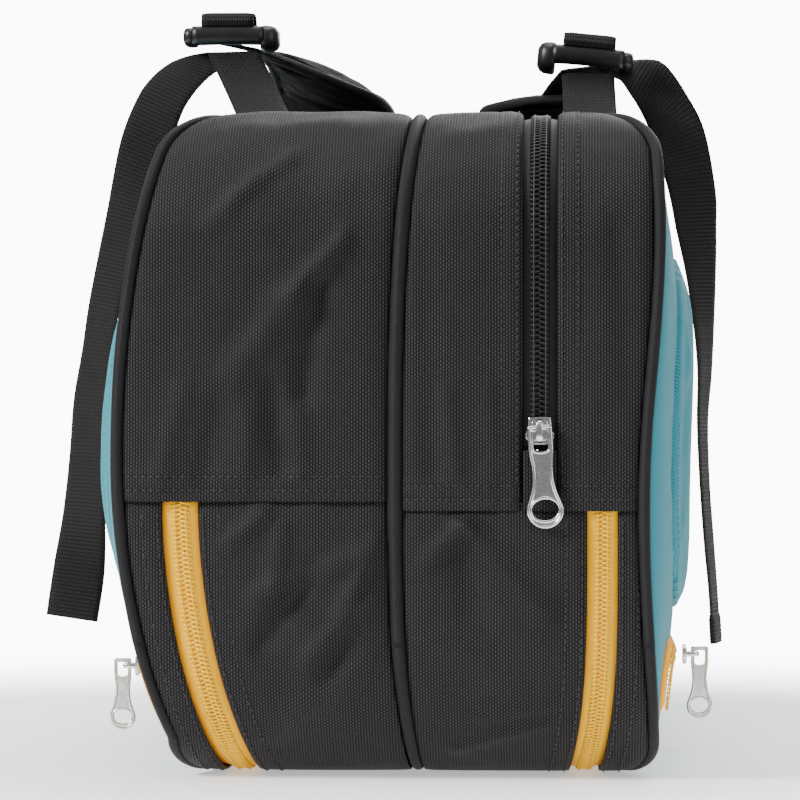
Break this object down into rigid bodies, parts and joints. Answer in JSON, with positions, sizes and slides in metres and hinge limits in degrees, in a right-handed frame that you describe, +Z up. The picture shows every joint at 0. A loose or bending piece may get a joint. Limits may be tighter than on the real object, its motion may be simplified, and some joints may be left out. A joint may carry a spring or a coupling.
{
  "type": "two-compartment backpack sports bag",
  "caption": "Rounded two-half fabric sports bag lying on its edge, with zips, side pockets, padded shoulder straps, ladder locks and hanging webbing tails.",
  "frame": {"origin": "on the surface the bag lies on, under the middle of its box", "axes": "+Z up, -Y towards the rounded end with the main zip, +Y along the bag's length, +X to the right seen from that end"},
  "size_m": [0.3277, 0.5566, 0.349],
  "materials": {
    "black_nylon": "ribbed woven nylon, soft sheen",
    "teal_twill": "fine twill polyester, matte",
    "lining": "plain lining cloth, matte",
    "yellow_tape": "woven zip tape, matte",
    "yellow_coil": "nylon zip coil, satin",
    "black_coil": "nylon zip coil, satin",
    "silver_metal": "plated zinc casting, softly polished",
    "black_plastic": "moulded acetal, satin",
    "black_webbing": "ribbed polypropylene webbing",
    "black_fleece": "padded mesh with a bound edge"
  },
  "bodies": {
    "bag": {"left_upper_gusset": "black_nylon", "left_lower_gusset": "black_nylon", "left_edge_strip": "black_nylon", "right_upper_gusset_inner": "black_nylon", "right_upper_gusset_outer": "black_nylon", "right_lower_gusset": "black_nylon", "right_edge_strip": "black_nylon", "main_zip_near_stop": "black_nylon", "main_zip_far_stop": "black_nylon", "main_zip_tape": "black_nylon", "main_zip_coil": "black_coil", "left_zip_tape": "yellow_tape", "left_zip_coil": "yellow_coil", "right_zip_tape": "yellow_tape", "right_zip_coil": "yellow_coil", "left_face_panel": "teal_twill", "right_face_panel": "teal_twill", "centre_divider": "lining", "right_divider": "lining", "left_pocket_panel": "teal_twill", "right_pocket_panel": "teal_twill", "left_pocket_zip_tape": "yellow_tape", "left_pocket_zip_coil": "yellow_coil", "right_pocket_zip_tape": "yellow_tape", "right_pocket_zip_coil": "yellow_coil", "left_piping": "black_nylon", "right_piping": "black_nylon", "centre_piping": "black_nylon", "left_shoulder_pad": "black_fleece", "right_shoulder_pad": "black_fleece", "left_anchor_webbing": "black_webbing", "right_anchor_webbing": "black_webbing", "left_pad_link": "black_webbing", "right_pad_link": "black_webbing", "strap_yoke": "black_webbing", "grab_handle_left_tab": "black_webbing", "grab_handle_right_tab": "black_webbing"},
    "main_zip_slider": {"main_zip_slider": "silver_metal"},
    "main_zip_pull": {"main_zip_pull": "silver_metal"},
    "left_zip_slider": {"left_zip_slider": "silver_metal"},
    "left_zip_pull": {"left_zip_pull": "silver_metal"},
    "right_zip_slider": {"right_zip_slider": "silver_metal"},
    "right_zip_pull": {"right_zip_pull": "silver_metal"},
    "left_pocket_slider": {"left_pocket_slider": "silver_metal"},
    "left_pocket_pull": {"left_pocket_pull": "silver_metal"},
    "right_pocket_slider": {"right_pocket_slider": "silver_metal"},
    "right_pocket_pull": {"right_pocket_pull": "silver_metal"},
    "left_lock": {"left_ladder_lock": "black_plastic", "left_lock_fold": "black_webbing"},
    "right_lock": {"right_ladder_lock": "black_plastic", "right_lock_fold": "black_webbing"},
    "left_tail": {"left_strap_tail": "black_webbing"},
    "right_tail": {"right_strap_tail": "black_webbing"},
    "grab_handle": {"grab_handle": "black_webbing"}
  },
  "joints": [
    {"name": "main_zip_slide", "type": "slide", "parent": "bag", "child": "main_zip_slider", "axis": [0, 0, 1], "range_m": [0, 0.074]},
    {"name": "main_zip_pull_swing", "type": "hinge", "parent": "main_zip_slider", "child": "main_zip_pull", "pos_m": [0.0779, -0.275, 0.153], "axis": [-1, 0, 0], "range_deg": [0, 165]},
    {"name": "left_zip_slide", "type": "slide", "parent": "bag", "child": "left_zip_slider", "axis": [0, 0, -1], "range_m": [0, 0.04]},
    {"name": "left_zip_pull_swing", "type": "hinge", "parent": "left_zip_slider", "child": "left_zip_pull", "pos_m": [-0.07877, 0.275, 0.109], "axis": [1, 0, 0], "range_deg": [0, 165]},
    {"name": "right_zip_slide", "type": "slide", "parent": "bag", "child": "right_zip_slider", "axis": [0, 0, -1], "range_m": [0, 0.04]},
    {"name": "right_zip_pull_swing", "type": "hinge", "parent": "right_zip_slider", "child": "right_zip_pull", "pos_m": [0.1051, 0.275, 0.109], "axis": [1, 0, 0], "range_deg": [0, 165]},
    {"name": "left_pocket_slide", "type": "slide", "parent": "bag", "child": "left_pocket_slider", "axis": [0, 1, 0], "range_m": [0, 0.385]},
    {"name": "left_pocket_pull_swing", "type": "hinge", "parent": "left_pocket_slider", "child": "left_pocket_pull", "pos_m": [-0.11081, -0.205, 0.046], "axis": [0, 1, 0], "range_deg": [0, 100]},
    {"name": "right_pocket_slide", "type": "slide", "parent": "bag", "child": "right_pocket_slider", "axis": [0, 1, 0], "range_m": [0, 0.385]},
    {"name": "right_pocket_pull_swing", "type": "hinge", "parent": "right_pocket_slider", "child": "right_pocket_pull", "pos_m": [0.14827, -0.205, 0.052], "axis": [0, -1, 0], "range_deg": [0, 100]},
    {"name": "left_lock_tilt", "type": "hinge", "parent": "bag", "child": "left_lock", "pos_m": [-0.0735, -0.091, 0.341], "axis": [1, 0, 0], "range_deg": [-15, 15]},
    {"name": "right_lock_tilt", "type": "hinge", "parent": "bag", "child": "right_lock", "pos_m": [0.099, -0.091, 0.33], "axis": [1, 0, 0], "range_deg": [-15, 15]},
    {"name": "left_tail_swing", "type": "hinge", "parent": "bag", "child": "left_tail", "pos_m": [-0.082, -0.085, 0.32], "axis": [-1, 0, 0], "range_deg": [0, 40]},
    {"name": "right_tail_swing", "type": "hinge", "parent": "bag", "child": "right_tail", "pos_m": [0.1215, -0.085, 0.3175], "axis": [-1, 0, 0], "range_deg": [0, 40]},
    {"name": "grab_handle_swing", "type": "hinge", "parent": "bag", "child": "grab_handle", "pos_m": [0.0142, 0.2742, 0.243], "axis": [1, 0, 0], "range_deg": [0, 100]}
  ]
}
